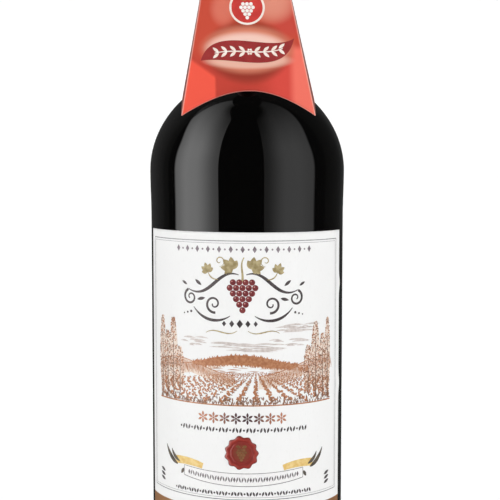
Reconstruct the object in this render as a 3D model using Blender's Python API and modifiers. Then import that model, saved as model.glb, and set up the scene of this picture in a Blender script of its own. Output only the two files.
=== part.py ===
"""A 75 cl wine bottle with a foil capsule, a folded card collar on its neck and a front label.

The origin is the middle of the foot, on the surface that the bottle stands on. +Z is up,
the label faces -Y, and +X is to its right. All lengths are in metres.
"""
import math

import bmesh
import bpy

# Glass: heights above the surface that the bottle stands on, and radii
GLASS_TOP = 0.2991
LABEL_TOP = 0.1554
PANEL_RADIUS = 0.03783
PANEL_TAPER = 0.0017
SHOULDER_LINE = 0.1779
SHOULDER_BULGE = 0.00034
SHOULDER_BLEND = 0.0181
DOME_ARC = 0.0403
DOME_ACROSS = 0.0071
DOME_RISE = 0.0320
HEEL_BLEND_TOP = 0.0330
HEEL_BLEND = 0.0140
HEEL_BULGE = 0.0003
HEEL_ROUND = 0.0060
RING_WIDTH = 0.0040
RING_ROUND = 0.0015
PUNT_DEPTH = 0.0130

# Neck and the ring round its mouth
NECK_RADIUS_LOW = 0.0142
NECK_RADIUS_HIGH = 0.0135
MOUTH_RING_RADIUS = 0.0140
MOUTH_RING_LOW = 0.2850
MOUTH_ROUND = 0.0012

# Foil capsule over the neck
CAPSULE_BOTTOM = 0.2360
CAPSULE_FOIL = 0.00025
CLEARANCE = 0.0003

# Card collar: a square sleeve that widens downwards, with an arch in each lower edge
COLLAR_TIP = 0.1984
COLLAR_TOP = 0.2540
COLLAR_TIP_HALF = 0.0252
COLLAR_SLOPE = 0.180
COLLAR_ARCH = 0.0093
COLLAR_BELLY = 0.0008
COLLAR_SIDE_BELLY = 3.3
COLLAR_CARD = 0.0004
COLLAR_LEAN = 0.024
COLLAR_LEAN_AT = 0.0245

# Paper label, with its sides given as angles round the bottle from the front
LABEL_BOTTOM = 0.0374
LABEL_LEFT = math.radians(-73.5)
LABEL_RIGHT = math.radians(69.8)
LABEL_PAPER = 0.0002
LABEL_DROP = 0.0003

# Fineness of the faceted surfaces
GLASS_SEGMENTS = 64
CAPSULE_SEGMENTS = 48
PANEL_COLUMNS = 12
LABEL_COLUMNS = 30

BOTTLE_COLLECTION = "wine_bottle"
MERGE = 0.00001


def clear_scene():
    """Remove whatever the scene holds, so that a run gives the same result each time."""
    for item in list(bpy.data.objects):
        bpy.data.objects.remove(item, do_unlink=True)


def new_material(name, colour, roughness, metallic):
    """Make a Principled BSDF material."""
    material = bpy.data.materials.new(name)
    material.use_nodes = True
    shader = material.node_tree.nodes["Principled BSDF"]
    shader.inputs["Base Color"].default_value = (*colour, 1.0)
    shader.inputs["Roughness"].default_value = roughness
    shader.inputs["Metallic"].default_value = metallic
    return material


def new_object(name, mesh, material, collection):
    """Make an object of a mesh, with its material, in the bottle's collection."""
    mesh.materials.append(material)
    piece = bpy.data.objects.new(name, mesh)
    collection.objects.link(piece)
    return piece


def arc(centre, radius, start, end, steps):
    """Points (radius, height) along an arc, with its angles in degrees from outwards to up."""
    points = []
    for step in range(steps + 1):
        angle = math.radians(start + (end - start) * step / steps)
        points.append((centre[0] + radius * math.cos(angle), centre[1] + radius * math.sin(angle)))
    return points


def smooth_step(value):
    """Ease from 0 to 1 with level ends."""
    value = min(1.0, max(0.0, value))
    return value * value * (3.0 - 2.0 * value)


def body_radius(height):
    """Radius of the straight body: a label panel between the shoulder's and the heel's bulge."""
    panel = PANEL_RADIUS + PANEL_TAPER * (height - LABEL_TOP)
    shoulder = smooth_step(1.0 - (SHOULDER_LINE - height) / SHOULDER_BLEND)
    heel = smooth_step((HEEL_BLEND_TOP - height) / HEEL_BLEND)
    return panel + SHOULDER_BULGE * shoulder + HEEL_BULGE * heel


def dome_radius(rise):
    """Radius of the shoulder's dome: an arc whose centre lies across the axis, drawn out to fit."""
    stretch = body_radius(SHOULDER_LINE) / (DOME_ARC - DOME_ACROSS)
    return stretch * (math.sqrt(DOME_ARC ** 2 - rise ** 2) - DOME_ACROSS)


def shoulder_to_neck():
    """Points of the hollow curve that leads from the neck down to the dome."""
    small = 0.00001
    slope = (dome_radius(DOME_RISE + small) - dome_radius(DOME_RISE - small)) / (2.0 * small)
    turn = math.atan(-slope)
    radius = (dome_radius(DOME_RISE) - NECK_RADIUS_LOW) / (1.0 - math.cos(turn))
    top = SHOULDER_LINE + DOME_RISE + radius * math.sin(turn)
    centre = (NECK_RADIUS_LOW + radius, top)
    return arc(centre, radius, 180.0, 180.0 + math.degrees(turn), 7)


def glass_profile():
    """The bottle's outline, from the middle of its mouth down to the middle of its punt."""
    points = [(0.0, GLASS_TOP)]
    mouth = (MOUTH_RING_RADIUS - MOUTH_ROUND, GLASS_TOP - MOUTH_ROUND)
    points += arc(mouth, MOUTH_ROUND, 90.0, 0.0, 3)
    points.append((MOUTH_RING_RADIUS, MOUTH_RING_LOW))
    points.append((NECK_RADIUS_HIGH, MOUTH_RING_LOW - 0.0015))
    points += shoulder_to_neck()
    dome_steps = 12
    for step in range(1, dome_steps + 1):
        rise = DOME_RISE * math.cos(0.5 * math.pi * step / dome_steps)
        points.append((dome_radius(rise), SHOULDER_LINE + rise))
    blend_steps = 6
    for step in range(1, blend_steps + 1):
        height = SHOULDER_LINE - SHOULDER_BLEND * step / blend_steps
        points.append((body_radius(height), height))
    for step in range(blend_steps):
        height = HEEL_BLEND_TOP - HEEL_BLEND * step / (blend_steps - 1)
        points.append((body_radius(height), height))
    heel = (body_radius(HEEL_ROUND) - HEEL_ROUND, HEEL_ROUND)
    points += arc(heel, HEEL_ROUND, 0.0, -90.0, 6)
    ring_inner = heel[0] - RING_WIDTH
    points += arc((ring_inner, RING_ROUND), RING_ROUND, -90.0, -150.0, 3)
    punt_radius, punt_start = points[-1]
    punt_steps = 7
    for step in range(1, punt_steps + 1):
        angle = 0.5 * math.pi * step / punt_steps
        height = punt_start + (PUNT_DEPTH - punt_start) * math.sin(angle) ** 1.3
        points.append((punt_radius * math.cos(angle), height))
    points[-1] = (0.0, PUNT_DEPTH)
    return points


def neck_radius(height):
    """Radius of the neck's glass between the shoulder and the mouth's ring."""
    foot = SHOULDER_LINE + DOME_RISE + 0.0095
    share = (height - foot) / (MOUTH_RING_LOW - foot)
    return NECK_RADIUS_LOW + (NECK_RADIUS_HIGH - NECK_RADIUS_LOW) * share


def capsule_profile():
    """The inside of the foil, from the middle of its top down to its lower edge."""
    top = GLASS_TOP + CLEARANCE
    ring = MOUTH_RING_RADIUS + CLEARANCE
    round_centre = (ring - MOUTH_ROUND, top - MOUTH_ROUND)
    points = [(0.0, top)]
    points += arc(round_centre, MOUTH_ROUND, 90.0, 0.0, 4)
    points.append((ring, MOUTH_RING_LOW - 0.0004))
    points.append((neck_radius(MOUTH_RING_LOW - 0.0025) + CLEARANCE, MOUTH_RING_LOW - 0.0025))
    points.append((neck_radius(CAPSULE_BOTTOM) + CLEARANCE, CAPSULE_BOTTOM))
    return points


def turned(name, profile, segments, material, collection):
    """Turn an outline round the Z axis with a Screw modifier."""
    mesh = bpy.data.meshes.new(name)
    edges = [(index, index + 1) for index in range(len(profile) - 1)]
    mesh.from_pydata([(radius, 0.0, height) for radius, height in profile], edges, [])
    piece = new_object(name, mesh, material, collection)
    screw = piece.modifiers.new("Turn", "SCREW")
    screw.axis = "Z"
    screw.angle = 2.0 * math.pi
    screw.steps = segments
    screw.render_steps = segments
    screw.use_merge_vertices = True
    screw.merge_threshold = MERGE
    screw.use_smooth_shade = True
    return piece


def add_thickness(piece, thickness, offset):
    """Give an open surface its thickness, outwards where offset is 1 and inwards where it is -1."""
    solidify = piece.modifiers.new("Thickness", "SOLIDIFY")
    solidify.thickness = thickness
    solidify.offset = offset
    solidify.use_even_offset = True


def make_bottle(collection):
    """The bottle of glass, filled and closed: one solid with a standing ring and a punt."""
    material = new_material("glass", (0.012, 0.014, 0.011), 0.07, 0.0)
    return turned("bottle", glass_profile(), GLASS_SEGMENTS, material, collection)


def make_capsule(collection):
    """The foil capsule, a thin cup turned upside down over the mouth and the neck."""
    material = new_material("capsule_foil", (0.16, 0.012, 0.022), 0.34, 0.6)
    piece = turned("capsule", capsule_profile(), CAPSULE_SEGMENTS, material, collection)
    add_thickness(piece, CAPSULE_FOIL, 1.0)
    return piece


def collar_point(across, up, side):
    """A point of the collar's outer face on one of its four sides.

    across runs from -1 to 1 over the side, and up from 0 at the lower edge to 1 at the top.
    The left and right sides bulge more than the front and the back.
    """
    lower = COLLAR_TIP + COLLAR_ARCH * (1.0 - across * across)
    height = lower + (COLLAR_TOP - lower) * up
    corner = COLLAR_TIP_HALF - COLLAR_SLOPE * (height - COLLAR_TIP)
    most = COLLAR_SIDE_BELLY * corner * corner if side % 2 else COLLAR_BELLY
    x, y = corner * across, -(corner + most * (1.0 - across * across))
    turn = 0.5 * math.pi * side
    lean = COLLAR_LEAN * (height - COLLAR_TIP - COLLAR_LEAN_AT)
    return (
        x * math.cos(turn) - y * math.sin(turn) - lean,
        x * math.sin(turn) + y * math.cos(turn),
        height,
    )


def make_collar(collection):
    """The folded card collar: four arched sides round the neck, open at the top and below."""
    columns = 4 * PANEL_COLUMNS
    rows = 5
    form = bmesh.new()
    bmesh.ops.create_grid(form, x_segments=columns, y_segments=rows, size=0.5)
    for vertex in form.verts:
        place = (vertex.co.x + 0.5) * 4.0
        side = min(3, int(place + 1e-6))
        across = 2.0 * (place - side) - 1.0
        vertex.co = collar_point(across, vertex.co.y + 0.5, side)
    bmesh.ops.remove_doubles(form, verts=form.verts, dist=MERGE)
    bmesh.ops.recalc_face_normals(form, faces=form.faces)
    mesh = bpy.data.meshes.new("collar")
    form.to_mesh(mesh)
    form.free()
    material = new_material("collar_card", (0.72, 0.085, 0.055), 0.35, 0.0)
    piece = new_object("collar", mesh, material, collection)
    add_thickness(piece, COLLAR_CARD, -1.0)
    return piece


def make_label(collection):
    """The paper label, a thin sheet that follows the label panel."""
    form = bmesh.new()
    bmesh.ops.create_grid(form, x_segments=LABEL_COLUMNS, y_segments=2, size=0.5)
    for vertex in form.verts:
        angle = LABEL_LEFT + (LABEL_RIGHT - LABEL_LEFT) * (vertex.co.x + 0.5)
        height = LABEL_BOTTOM + (LABEL_TOP - LABEL_BOTTOM) * (vertex.co.y + 0.5)
        height -= LABEL_DROP * angle
        radius = body_radius(height) + CLEARANCE
        vertex.co = (radius * math.sin(angle), -radius * math.cos(angle), height)
    mesh = bpy.data.meshes.new("label")
    form.to_mesh(mesh)
    form.free()
    material = new_material("label_paper", (0.86, 0.85, 0.83), 0.6, 0.0)
    piece = new_object("label", mesh, material, collection)
    add_thickness(piece, LABEL_PAPER, 1.0)
    return piece


def main():
    clear_scene()
    collection = bpy.data.collections.new(BOTTLE_COLLECTION)
    bpy.context.scene.collection.children.link(collection)
    make_bottle(collection)
    make_capsule(collection)
    make_collar(collection)
    make_label(collection)


main()
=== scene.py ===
"""The looks of a 75 cl wine bottle: dark glass, foil capsule, card collar and a printed label.

All places are in metres in the bottle's own frame: +Z up, the label facing -Y. Drawings on
the label and on the collar are laid out flat in millimetres and then wrapped onto them.
"""
import math
import random

import bmesh
import bpy
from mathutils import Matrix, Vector


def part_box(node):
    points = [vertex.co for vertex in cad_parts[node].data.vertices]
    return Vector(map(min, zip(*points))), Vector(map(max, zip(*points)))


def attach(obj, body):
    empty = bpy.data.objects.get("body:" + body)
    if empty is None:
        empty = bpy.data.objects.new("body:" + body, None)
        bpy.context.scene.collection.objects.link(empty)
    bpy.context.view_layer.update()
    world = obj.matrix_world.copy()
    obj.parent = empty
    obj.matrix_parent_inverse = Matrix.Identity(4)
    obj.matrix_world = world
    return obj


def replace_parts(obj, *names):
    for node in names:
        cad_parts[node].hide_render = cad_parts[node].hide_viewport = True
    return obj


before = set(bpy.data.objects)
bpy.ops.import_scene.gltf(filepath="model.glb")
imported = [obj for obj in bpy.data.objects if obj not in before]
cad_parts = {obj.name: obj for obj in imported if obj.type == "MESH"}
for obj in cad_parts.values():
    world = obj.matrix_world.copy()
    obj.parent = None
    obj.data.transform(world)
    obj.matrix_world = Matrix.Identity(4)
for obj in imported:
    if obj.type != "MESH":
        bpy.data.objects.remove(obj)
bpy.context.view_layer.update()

MM = 0.001

# Glass
GLASS_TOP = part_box("bottle")[1][2]
LABEL_TOP = 0.1554
PANEL_RADIUS = 0.03783
PANEL_TAPER = 0.0017
SHOULDER_LINE = 0.1779
SHOULDER_BULGE = 0.00034
SHOULDER_BLEND = 0.0181
DOME_ARC = 0.0403
DOME_ACROSS = 0.0071
DOME_RISE = 0.0320
HEEL_BLEND_TOP = 0.0330
HEEL_BLEND = 0.0140
HEEL_BULGE = 0.0003
HEEL_ROUND = 0.0060
RING_WIDTH = 0.0040
RING_ROUND = 0.0015
PUNT_DEPTH = 0.0130
NECK_RISE = 0.0095
NECK_RADIUS_LOW = 0.0142
NECK_RADIUS_HIGH = 0.0135
MOUTH_RING_RADIUS = 0.0140
MOUTH_RING_LOW = 0.2850
MOUTH_RING_STEP = 0.0015
MOUTH_ROUND = 0.0012
GLASS_STEPS = 240

# Foil capsule
CAPSULE_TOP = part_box("capsule")[1][2]
CAPSULE_BOTTOM = 0.2360
CAPSULE_STAND_OFF = 0.00055
# Its top, from the middle outwards: radius, and depth of the dimple and of the pressed ring
CAPSULE_DIPS = (
    (0.0, 0.0003), (0.0030, 0.0003), (0.0034, 0.0), (0.0104, 0.0), (0.0107, 0.00018), (0.0110, 0.0),
)
CAPSULE_GROOVES = (0.2772, 0.2722)
CAPSULE_GROOVE_HALF = 0.0004
CAPSULE_GROOVE_DEPTH = 0.00012
CAPSULE_HEM = 0.0030
CAPSULE_STEPS = 160

# Card collar
COLLAR_TIP = 0.1984
COLLAR_TOP = 0.2540
COLLAR_TIP_HALF = 0.0252
COLLAR_SLOPE = 0.180
COLLAR_ARCH = 0.0093
# The arch's top stands this share of the half width to the right of the middle
COLLAR_ARCH_SHIFT = 0.03
COLLAR_BELLY = 0.0008
COLLAR_SIDE_BELLY = 3.3
COLLAR_CARD = 0.0004
COLLAR_FOLD = 0.00035
COLLAR_FOLD_ANGLE = 0.6
COLLAR_LEAN = 0.024
COLLAR_LEAN_AT = 0.0245

# Paper label, with its middle given as an angle round the bottle from the front
LABEL_BOTTOM = 0.0374
LABEL_LEFT = math.radians(-73.5)
LABEL_RIGHT = math.radians(69.8)
LABEL_MIDDLE = math.radians(-2.5)
LABEL_STAND_OFF = 0.00016
LABEL_PAPER = 0.00014
LABEL_COLUMNS = 170
LABEL_TILT = 0.0002
LABEL_TILT_GROWTH = 0.002

# Photograph: the lens that its perspective gives, and where the camera stood
IMAGE_SIZE = 500
FOCAL_PIXELS = 1251.5
CAMERA_PLACE = (0.00113, -0.49608, LABEL_TOP + 0.02627)
CAMERA_PITCH = 0.0712

# A flat layout is stored as map coordinates in this many millimetres
LAYOUT_SPAN = 100.0

# Points of a piece closer than this are one: on turned shapes, the collar and wrapped drawings
TURNED_MERGE = 0.000001
COLLAR_MERGE = 0.00002
PRINT_MERGE = 0.0000005


# Shader maths

class Signal:
    """A socket of a material's nodes. Arithmetic on it adds Math nodes."""

    def __init__(self, paint, socket):
        self.paint = paint
        self.socket = socket

    def join(self, operation, *values):
        return self.paint.node("ShaderNodeMath", {"operation": operation}, dict(enumerate(values)))

    def __add__(self, other):
        return self.join("ADD", self, other)

    def __radd__(self, other):
        return self.join("ADD", other, self)

    def __sub__(self, other):
        return self.join("SUBTRACT", self, other)

    def __rsub__(self, other):
        return self.join("SUBTRACT", other, self)

    def __mul__(self, other):
        return self.join("MULTIPLY", self, other)

    def __rmul__(self, other):
        return self.join("MULTIPLY", other, self)

    def __truediv__(self, other):
        return self.join("DIVIDE", self, other)

    def __pow__(self, other):
        return self.join("POWER", self, other)

    def __neg__(self):
        return self.join("MULTIPLY", self, -1.0)

    def __abs__(self):
        return self.join("ABSOLUTE", self)

    def most(self, other):
        return self.join("MAXIMUM", self, other)

    def step(self, low, high):
        """Ease from 0 where the value is at low to 1 where it is at high."""
        settings = {"interpolation_type": "SMOOTHSTEP"}
        values = {"Value": self, "From Min": low, "From Max": high}
        return self.paint.node("ShaderNodeMapRange", settings, values)


class Paint:
    """A Principled material whose nodes are made by one method."""

    def __init__(self, name, roughness=0.5, **constants):
        self.material = bpy.data.materials.new(name)
        self.material.use_nodes = True
        self.tree = self.material.node_tree
        self.shader = self.tree.nodes["Principled BSDF"]
        self.shader.inputs["Roughness"].default_value = roughness
        for key, value in constants.items():
            self.shader.inputs[key.replace("_", " ")].default_value = value

    def node(self, kind, settings=None, values=None, output=0):
        item = self.tree.nodes.new(kind)
        for key, value in (settings or {}).items():
            setattr(item, key, value)
        for key, value in (values or {}).items():
            if isinstance(value, Signal):
                self.tree.links.new(value.socket, item.inputs[key])
            else:
                item.inputs[key].default_value = value
        return Signal(self, item.outputs[output])

    def place(self, axis=None):
        """The point on the surface in metres, or one of its coordinates."""
        point = self.node("ShaderNodeTexCoord", output=3)
        return point if axis is None else self.split(point, axis)

    def split(self, vector, axis):
        return self.node("ShaderNodeSeparateXYZ", None, {0: vector}, output="XYZ".index(axis))

    def sheet(self, axis):
        """A coordinate of the piece's own flat layout, in millimetres."""
        point = self.node("ShaderNodeUVMap", {"uv_map": "layout"})
        return self.split(point, axis) * LAYOUT_SPAN

    def stored(self, name):
        """A value that is stored on the piece's points."""
        return self.node("ShaderNodeAttribute", {"attribute_name": name}, output=2)

    def noise(self, scale, detail=2.0, stretch=(1.0, 1.0, 1.0)):
        point = self.node("ShaderNodeMapping", None, {"Vector": self.place(), "Scale": stretch})
        values = {"Vector": point, "Scale": scale, "Detail": detail}
        return self.node("ShaderNodeTexNoise", None, values)

    def blend(self, share, first, second):
        """Mix two colours, each a tuple or a signal."""
        ends = [end if isinstance(end, Signal) else (*end, 1.0) for end in (first, second)]
        values = {0: share, 6: ends[0], 7: ends[1]}
        return self.node("ShaderNodeMix", {"data_type": "RGBA"}, values, output=2)

    def over(self, base, *layers):
        """Lay screen colours over a base, each given as its share and its three parts."""
        for share, parts in layers:
            base = self.blend(share, base, colour(*parts))
        return base

    def feed(self, **inputs):
        for key, value in inputs.items():
            self.tree.links.new(value.socket, self.shader.inputs[key.replace("_", " ")])

    def relief(self, height):
        """Bumps whose height is in metres."""
        values = {"Height": height, "Distance": 1.0, "Strength": 1.0}
        self.feed(Normal=self.node("ShaderNodeBump", None, values))


def colour(red, green, blue):
    """A screen colour, each part from 0 to 255, as the linear values that a shader takes."""
    parts = []
    for part in (red, green, blue):
        share = part / 255.0
        parts.append(share / 12.92 if share <= 0.04045 else ((share + 0.055) / 1.055) ** 2.4)
    return tuple(parts)


# Shapes that follow the bottle

def smooth_step(value):
    value = min(1.0, max(0.0, value))
    return value * value * (3.0 - 2.0 * value)


def body_radius(height):
    """Radius of the straight body: a label panel between the shoulder's and the heel's bulge."""
    panel = PANEL_RADIUS + PANEL_TAPER * (height - LABEL_TOP)
    shoulder = smooth_step(1.0 - (SHOULDER_LINE - height) / SHOULDER_BLEND)
    heel = smooth_step((HEEL_BLEND_TOP - height) / HEEL_BLEND)
    return panel + SHOULDER_BULGE * shoulder + HEEL_BULGE * heel


def dome_radius(rise):
    stretch = body_radius(SHOULDER_LINE) / (DOME_ARC - DOME_ACROSS)
    return stretch * (math.sqrt(DOME_ARC ** 2 - rise ** 2) - DOME_ACROSS)


def neck_radius(height):
    foot = SHOULDER_LINE + DOME_RISE + NECK_RISE
    share = (height - foot) / (MOUTH_RING_LOW - foot)
    return NECK_RADIUS_LOW + (NECK_RADIUS_HIGH - NECK_RADIUS_LOW) * share


def arc(centre, radius, start, end, steps):
    """Points along an arc, between two angles in degrees."""
    points = []
    for step in range(steps + 1):
        angle = math.radians(start + (end - start) * step / steps)
        points.append((centre[0] + radius * math.cos(angle), centre[1] + radius * math.sin(angle)))
    return points


def shoulder_to_neck():
    small = 0.00001
    slope = (dome_radius(DOME_RISE + small) - dome_radius(DOME_RISE - small)) / (2.0 * small)
    turn = math.atan(-slope)
    radius = (dome_radius(DOME_RISE) - NECK_RADIUS_LOW) / (1.0 - math.cos(turn))
    top = SHOULDER_LINE + DOME_RISE + radius * math.sin(turn)
    return arc((NECK_RADIUS_LOW + radius, top), radius, 180.0, 180.0 + math.degrees(turn), 16)


def body_points(top, reach, steps, numbers):
    """The outline down the straight body, at the numbered ones of so many steps along a reach."""
    heights = [top - reach * number / steps for number in numbers]
    return [(body_radius(height), height) for height in heights]


def glass_profile():
    """The bottle's outline, from the middle of its mouth down to the middle of its punt."""
    points = [(0.0, GLASS_TOP)]
    points += arc((MOUTH_RING_RADIUS - MOUTH_ROUND, GLASS_TOP - MOUTH_ROUND), MOUTH_ROUND, 90, 0, 6)
    points.append((MOUTH_RING_RADIUS, MOUTH_RING_LOW))
    points.append((NECK_RADIUS_HIGH, MOUTH_RING_LOW - MOUTH_RING_STEP))
    points += shoulder_to_neck()
    dome_steps = 44
    for step in range(1, dome_steps + 1):
        rise = DOME_RISE * math.cos(0.5 * math.pi * step / dome_steps)
        points.append((dome_radius(rise), SHOULDER_LINE + rise))
    points += body_points(SHOULDER_LINE, SHOULDER_BLEND, 20, range(1, 21))
    points += body_points(LABEL_TOP, LABEL_TOP - HEEL_BLEND_TOP, 16, range(1, 16))
    points += body_points(HEEL_BLEND_TOP, HEEL_BLEND, 19, range(20))
    heel = (body_radius(HEEL_ROUND) - HEEL_ROUND, HEEL_ROUND)
    points += arc(heel, HEEL_ROUND, 0.0, -90.0, 14)
    points += arc((heel[0] - RING_WIDTH, RING_ROUND), RING_ROUND, -90.0, -150.0, 6)
    punt_radius, punt_start = points[-1]
    punt_steps = 22
    for step in range(1, punt_steps + 1):
        angle = 0.5 * math.pi * step / punt_steps
        height = punt_start + (PUNT_DEPTH - punt_start) * math.sin(angle) ** 1.3
        points.append((punt_radius * math.cos(angle), height))
    points[-1] = (0.0, PUNT_DEPTH)
    return points


def foil_radius(height):
    return neck_radius(height) + CAPSULE_STAND_OFF


def capsule_profile():
    """The foil's outside, from the middle of its top to its lower edge, then a turned-in hem."""
    ring = MOUTH_RING_RADIUS + CAPSULE_STAND_OFF
    shoulder, tuck, foil = 0.0015, 0.0026, 0.00025
    points = [(radius, CAPSULE_TOP - dip) for radius, dip in CAPSULE_DIPS]
    points += arc((ring - shoulder, CAPSULE_TOP - shoulder), shoulder, 90.0, 0.0, 8)
    ring_low = MOUTH_RING_LOW - 0.0004
    points += [(ring, ring_low + 0.0030), (ring, ring_low)]
    for step in range(1, 7):
        share = step / 6
        radius = ring + (foil_radius(ring_low - tuck) - ring) * smooth_step(share)
        points.append((radius, ring_low - tuck * share))
    for groove in CAPSULE_GROOVES:
        for offset, depth in ((1.0, 0.0), (0.0, CAPSULE_GROOVE_DEPTH), (-1.0, 0.0)):
            height = groove + offset * CAPSULE_GROOVE_HALF
            points.append((foil_radius(height) - depth, height))
    skirt_top = points[-1][1]
    for step in range(1, 13):
        height = skirt_top + (CAPSULE_BOTTOM - skirt_top) * step / 12
        points.append((foil_radius(height), height))
    inner = foil_radius(CAPSULE_BOTTOM) - foil
    points += [(inner, CAPSULE_BOTTOM), (inner, CAPSULE_BOTTOM + CAPSULE_HEM)]
    return points


def turned(profile, steps, merge=TURNED_MERGE):
    """Spin an outline round the Z axis and close its seam and poles."""
    form = bmesh.new()
    path = [form.verts.new((radius, 0.0, height)) for radius, height in profile]
    edges = [form.edges.new(pair) for pair in zip(path, path[1:])]
    bmesh.ops.spin(
        form, geom=path + edges, cent=(0, 0, 0), axis=(0, 0, 1), angle=2.0 * math.pi,
        steps=steps, use_merge=True, use_duplicate=False,
    )
    bmesh.ops.remove_doubles(form, verts=form.verts, dist=merge)
    bmesh.ops.recalc_face_normals(form, faces=form.faces)
    return form


def new_object(name, data):
    thing = bpy.data.objects.new(name, data)
    bpy.context.scene.collection.objects.link(thing)
    return thing


def finish_mesh(name, form):
    """Make a smooth object of a bmesh. Its place stays in its mesh."""
    mesh = bpy.data.meshes.new(name)
    form.to_mesh(mesh)
    form.free()
    mesh.shade_smooth()
    return new_object(name, mesh)


def dress(piece, paint):
    """Give a piece its material and its body."""
    piece.data.materials.append(paint.material)
    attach(piece, "root")
    return piece


# Glass

def glass_paint():
    """Very dark glass with a polished, faintly wavy face, its mould seams and a grained foot."""
    paint = Paint("dark_glass", roughness=0.03, IOR=1.5)
    y, z = paint.place("Y"), paint.place("Z")
    tint = paint.noise(22.0, 3.0)
    base = paint.blend(tint, (0.0004, 0.0004, 0.0003), (0.0008, 0.0006, 0.0005))
    paint.feed(Base_Color=base)
    side = abs(y).step(0.00045, 0.0)
    above_foot = z.step(0.004, 0.012)
    seam = side * above_foot * 0.00005
    wave = paint.noise(30.0, 1.0) * 0.00003
    grain = paint.noise(2600.0, 1.0) * z.step(0.0012, 0.0) * 0.00012
    paint.relief(seam + wave + grain)
    smear = paint.noise(60.0, 4.0).step(0.45, 0.8)
    foot = z.step(0.006, 0.0)
    paint.feed(Roughness=0.025 + smear * 0.025 + foot * 0.25)
    return paint


def make_glass():
    piece = finish_mesh("glass_body", turned(glass_profile(), GLASS_STEPS))
    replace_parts(dress(piece, glass_paint()), "bottle")


# Capsule

def foil_paint():
    """Satin burgundy foil with fine lengthwise wrinkles and a paler worn edge at the mouth."""
    paint = Paint("burgundy_foil", roughness=0.34, Metallic=0.75)
    z = paint.place("Z")
    mottle = paint.noise(420.0, 3.0)
    base = paint.blend(mottle, colour(92, 14, 30), colour(112, 22, 38))
    drop = CAPSULE_TOP - z
    rim = drop.step(0.0014, 0.0008) * drop.step(0.0002, 0.0005)
    pale_edge = rim * mottle.step(0.45, 0.75) * 0.35
    paint.feed(Base_Color=paint.blend(pale_edge, base, colour(176, 120, 118)))
    wrinkle = paint.noise(520.0, 3.0, (1.0, 1.0, 0.06)) * 0.00006
    grain = paint.noise(2400.0, 2.0) * 0.000012
    paint.relief(wrinkle + grain)
    paint.feed(Roughness=0.28 + mottle * 0.16)
    return paint


def make_capsule():
    piece = finish_mesh("foil_capsule", turned(capsule_profile(), CAPSULE_STEPS))
    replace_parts(dress(piece, foil_paint()), "capsule")


# Collar

def collar_place(side, across, height, lift=0.0):
    """A point on the outside of one side of the collar; across is in metres from its middle."""
    corner = COLLAR_TIP_HALF - COLLAR_SLOPE * (height - COLLAR_TIP)
    belly = COLLAR_SIDE_BELLY * corner * corner if side % 2 else COLLAR_BELLY
    share = across / corner
    out = corner + belly * (1.0 - share * share) + lift
    turn = 0.5 * math.pi * side
    x = across * math.cos(turn) + out * math.sin(turn)
    y = across * math.sin(turn) - out * math.cos(turn)
    return Vector((x - COLLAR_LEAN * (height - COLLAR_TIP - COLLAR_LEAN_AT), y, height))


def arch_rise(across):
    """The lower edge's height as a share of the arch; across may be a number or a signal."""
    shifted = across - COLLAR_ARCH_SHIFT * (1.0 - across * across)
    return 1.0 - shifted * shifted


def collar_form():
    """Four arched sides in one mesh, with a flat layout for the print: across and height.

    The layout of the left and right sides stands one span higher than that of the others.
    """
    form = bmesh.new()
    columns, rows = 36, 40
    layout = form.loops.layers.uv.new("layout")
    for side in range(4):
        panel = bmesh.ops.create_grid(form, x_segments=columns, y_segments=rows, size=0.5)
        spots = {}
        for vertex in panel["verts"]:
            across = 2.0 * vertex.co.x
            lower = COLLAR_TIP + COLLAR_ARCH * arch_rise(across)
            height = lower + (COLLAR_TOP - lower) * (vertex.co.y + 0.5)
            half = COLLAR_TIP_HALF - COLLAR_SLOPE * (height - COLLAR_TIP)
            up = (height - COLLAR_TIP) / MM + LAYOUT_SPAN * (side % 2)
            spots[vertex] = (across * half / MM / LAYOUT_SPAN, up / LAYOUT_SPAN)
            vertex.co = collar_place(side, across * half, height)
        for vertex in panel["verts"]:
            for loop in vertex.link_loops:
                loop[layout].uv = spots[vertex]
    bmesh.ops.remove_doubles(form, verts=form.verts, dist=COLLAR_MERGE)
    bmesh.ops.recalc_face_normals(form, faces=form.faces)
    folds = [
        edge for edge in form.edges
        if edge.is_manifold and edge.calc_face_angle() > COLLAR_FOLD_ANGLE
    ]
    bmesh.ops.bevel(
        form, geom=folds, offset=COLLAR_FOLD, segments=3, profile=0.5, affect="EDGES", material=-1,
    )
    return form


def glow(x, y, middle_x, middle_y, half_x, half_y, edge=0.0):
    """A soft oval: 1 inside the share edge of its reach, and 0 at its rim."""
    reach = ((x - middle_x) / half_x) ** 2.0 + ((y - middle_y) / half_y) ** 2.0
    return reach.step(1.0, edge)


def card_red(paint, x, y):
    """The red fields: lighter wings below, a darker middle and warmer fields above."""
    mottle = paint.noise(150.0, 2.0)
    red = paint.blend(mottle, colour(195, 61, 46), colour(209, 70, 56))
    left_wing = (-x).step(11.5, 12.7) * (y + x * 0.75).step(6.6, 4.4)
    right_field = x.step(3.0, 12.0) * y.step(26.0, 19.0)
    right_wing = x.step(14.8, 18.4) * y.step(28.0, 24.0)
    above = y.step(18.0, 27.0) * (1.0 - x.step(14.0, 19.0) * y.step(29.0, 25.0))
    above_right = x.step(6.0, 14.0) * y.step(28.0, 33.0)
    return paint.over(
        red, (left_wing, (250, 91, 70)), (right_field, (223, 75, 63)), (right_wing, (249, 117, 99)),
        (above * 0.9, (207, 78, 55)), (above_right * 0.7, (206, 70, 60)),
    )


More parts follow.
